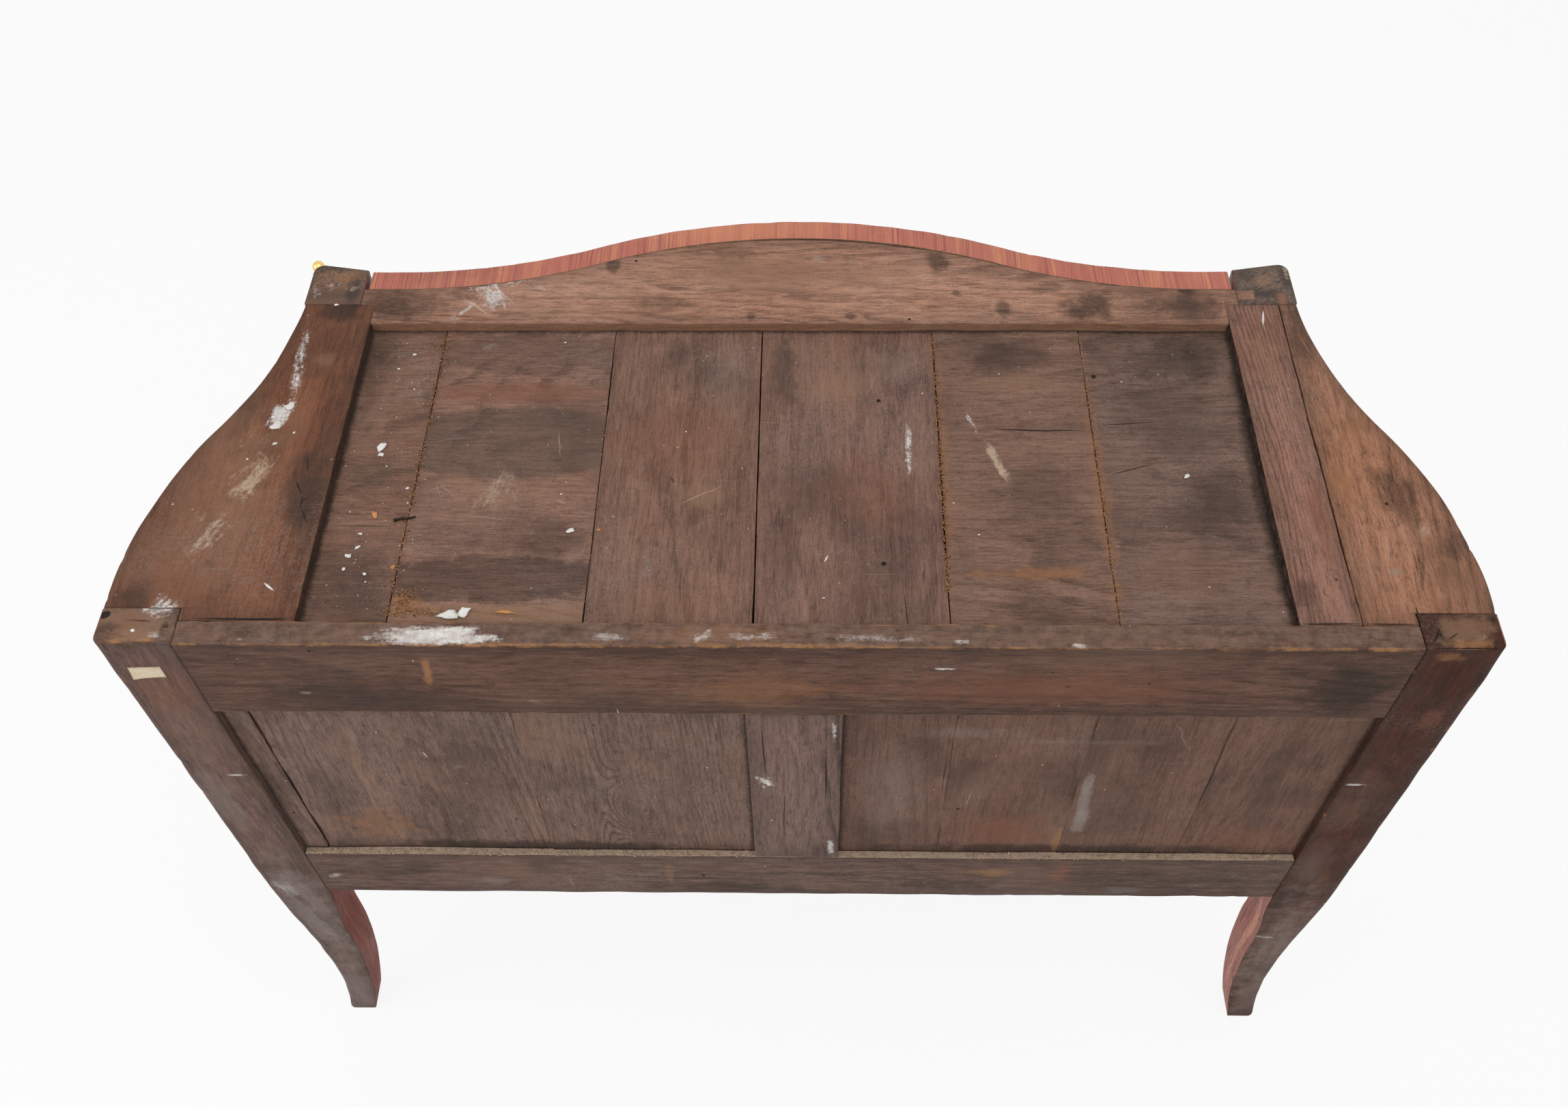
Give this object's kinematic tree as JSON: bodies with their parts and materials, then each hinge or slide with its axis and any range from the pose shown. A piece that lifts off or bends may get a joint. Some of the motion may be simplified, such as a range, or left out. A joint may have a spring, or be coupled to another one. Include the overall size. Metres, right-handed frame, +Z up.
{
  "type": "commode",
  "caption": "Serpentine veneered commode on cabriole legs with stacked bow-fronted drawers, swinging bail handles, locks and an open planked top frame for a slab.",
  "frame": {"origin": "on the floor under the middle of the overall box", "axes": "+X across the width, towards the right as one faces the drawers; +Y to the back; +Z up. The drawer fronts face -Y."},
  "size_m": [1.109, 0.4982, 0.825],
  "materials": {
    "carcase_oak": "aged, dry",
    "drawer_oak": "raw, worn",
    "veneer": "polished",
    "gilt_bronze": "gilt, rubbed",
    "lock_iron": "dark, oiled"
  },
  "bodies": {
    "carcase": {"back_top_rail": "carcase_oak", "back_bottom_rail": "carcase_oak", "back_muntin": "carcase_oak", "back_panel_right": "carcase_oak", "back_panel_left": "carcase_oak", "rear_post_right": "veneer", "rear_post_left": "veneer", "top_front_rail": "carcase_oak", "top_side_board_right": "carcase_oak", "top_side_board_left": "carcase_oak", "top_side_strip_left": "carcase_oak", "top_board_1": "carcase_oak", "top_board_2": "carcase_oak", "top_board_3": "carcase_oak", "top_board_4": "carcase_oak", "top_board_5": "carcase_oak", "top_board_6": "carcase_oak", "side_panel_right": "veneer", "side_panel_left": "veneer", "middle_rail": "carcase_oak", "middle_runner_right": "carcase_oak", "middle_runner_left": "carcase_oak", "middle_dust_board": "carcase_oak", "bottom_rail": "carcase_oak", "bottom_runner_right": "carcase_oak", "bottom_runner_left": "carcase_oak", "bottom_dust_board": "carcase_oak", "drawer_guides": "carcase_oak", "front_apron": "veneer", "front_post_right": "veneer", "front_post_left": "veneer", "apron_mount": "gilt_bronze", "corner_chute_right": "gilt_bronze", "corner_chute_left": "gilt_bronze", "sabot_right": "gilt_bronze", "sabot_left": "gilt_bronze"},
    "upper_drawer": {"upper_drawer_side_right": "drawer_oak", "upper_drawer_side_left": "drawer_oak", "upper_drawer_back": "drawer_oak", "upper_drawer_bottom": "drawer_oak", "upper_lock": "lock_iron", "upper_drawer_front": "veneer", "upper_escutcheon": "gilt_bronze", "upper_handle_plates": "gilt_bronze"},
    "lower_drawer": {"lower_drawer_side_right": "drawer_oak", "lower_drawer_side_left": "drawer_oak", "lower_drawer_back": "drawer_oak", "lower_drawer_bottom": "drawer_oak", "lower_lock": "lock_iron", "lower_drawer_front": "veneer", "lower_escutcheon": "gilt_bronze", "lower_handle_plates": "gilt_bronze"},
    "upper_bolt": {"upper_bolt": "lock_iron"},
    "upper_right_bail": {"upper_right_bail": "gilt_bronze"},
    "upper_left_bail": {"upper_left_bail": "gilt_bronze"},
    "lower_bolt": {"lower_bolt": "lock_iron"},
    "lower_right_bail": {"lower_right_bail": "gilt_bronze"},
    "lower_left_bail": {"lower_left_bail": "gilt_bronze"}
  },
  "joints": [
    {"name": "upper_drawer_slide", "type": "slide", "parent": "carcase", "child": "upper_drawer", "axis": [0, -1, 0], "range_m": [0, 0.29]},
    {"name": "lower_drawer_slide", "type": "slide", "parent": "carcase", "child": "lower_drawer", "axis": [0, -1, 0], "range_m": [0, 0.29]},
    {"name": "upper_right_bail_swing", "type": "hinge", "parent": "upper_drawer", "child": "upper_right_bail", "pos_m": [0.28914, -0.20308, 0.729], "axis": [-0.9844, -0.1758, 0], "range_deg": [0, 85]},
    {"name": "upper_left_bail_swing", "type": "hinge", "parent": "upper_drawer", "child": "upper_left_bail", "pos_m": [-0.28914, -0.20308, 0.729], "axis": [-0.9844, 0.1758, 0], "range_deg": [0, 85]},
    {"name": "upper_bolt_slide", "type": "slide", "parent": "upper_drawer", "child": "upper_bolt", "axis": [0, 0, 1], "range_m": [0, 0.009]},
    {"name": "lower_right_bail_swing", "type": "hinge", "parent": "lower_drawer", "child": "lower_right_bail", "pos_m": [0.28914, -0.20308, 0.513], "axis": [-0.9844, -0.1758, 0], "range_deg": [0, 85]},
    {"name": "lower_left_bail_swing", "type": "hinge", "parent": "lower_drawer", "child": "lower_left_bail", "pos_m": [-0.28914, -0.20308, 0.513], "axis": [-0.9844, 0.1758, 0], "range_deg": [0, 85]},
    {"name": "lower_bolt_slide", "type": "slide", "parent": "lower_drawer", "child": "lower_bolt", "axis": [0, 0, 1], "range_m": [0, 0.009]}
  ]
}
